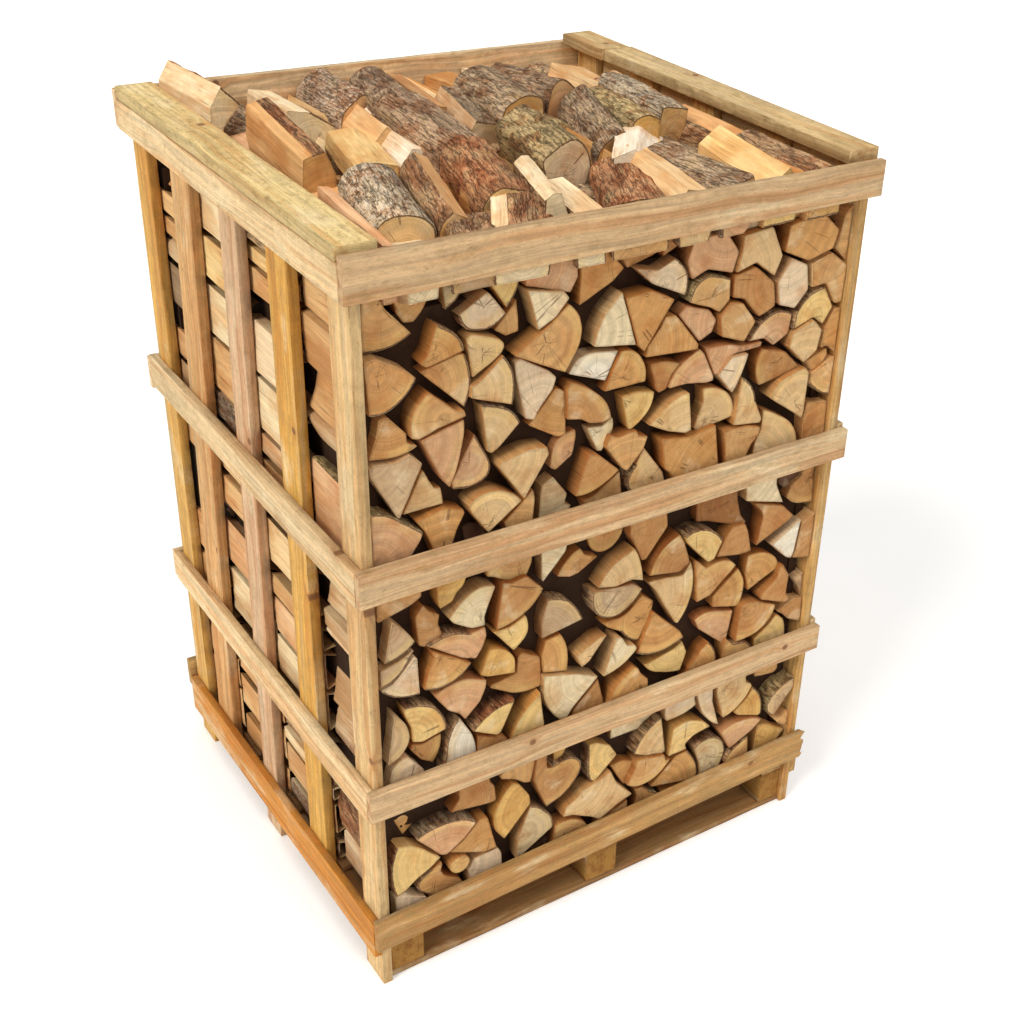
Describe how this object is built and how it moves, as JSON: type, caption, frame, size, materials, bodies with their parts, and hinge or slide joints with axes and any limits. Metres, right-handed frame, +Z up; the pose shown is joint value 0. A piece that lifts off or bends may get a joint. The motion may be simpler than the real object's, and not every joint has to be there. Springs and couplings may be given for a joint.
{
  "type": "crate of firewood",
  "caption": "Tall slatted timber crate on a block pallet, filled with stacked split firewood logs.",
  "frame": {"origin": "centre of the footprint, on the ground under the feet", "axes": "+Z up, -Y towards the front, where the log ends show, +X to the right as seen from the front"},
  "size_m": [1.15, 1.05, 1.705],
  "materials": {
    "pale_board": "rough sawn, dry",
    "amber_board": "rough sawn, dry",
    "brown_board": "rough sawn, weathered",
    "block_wood": "sawn, weathered",
    "split_logs": "split and sawn, with grey-brown bark"
  },
  "bodies": {
    "root": {"slat_left_1": "amber_board", "slat_left_2": "amber_board", "slat_left_3": "amber_board", "slat_left_4": "amber_board", "slat_left_5": "amber_board", "slat_right_1": "amber_board", "slat_right_2": "amber_board", "slat_right_3": "amber_board", "slat_right_4": "amber_board", "slat_right_5": "amber_board", "rail_left_1": "pale_board", "rail_left_2": "pale_board", "rail_left_3": "pale_board", "rail_left_4": "amber_board", "rail_right_1": "pale_board", "rail_right_2": "pale_board", "rail_right_3": "pale_board", "rail_right_4": "brown_board", "rail_front_1": "pale_board", "rail_front_2": "pale_board", "rail_front_3": "pale_board", "rail_front_4": "brown_board", "rail_back_1": "pale_board", "rail_back_2": "pale_board", "rail_back_3": "pale_board", "rail_back_4": "brown_board", "cap_left": "pale_board", "cap_right_front": "pale_board", "cap_right_rear": "pale_board", "skid_front": "brown_board", "block_front_left": "block_wood", "block_front_middle": "block_wood", "block_front_right": "block_wood", "skid_middle": "brown_board", "block_middle_left": "block_wood", "block_middle_middle": "block_wood", "block_middle_right": "block_wood", "skid_back": "brown_board", "block_back_left": "block_wood", "block_back_middle": "block_wood", "block_back_right": "block_wood", "cross_board_left": "brown_board", "cross_board_middle": "brown_board", "cross_board_right": "brown_board", "deck_board_1": "brown_board", "deck_board_2": "brown_board", "deck_board_3": "brown_board", "deck_board_4": "brown_board", "deck_board_5": "brown_board", "log_row_1": "split_logs", "log_row_2": "split_logs", "log_row_3": "split_logs", "log_row_4": "split_logs"}
  },
  "joints": []
}
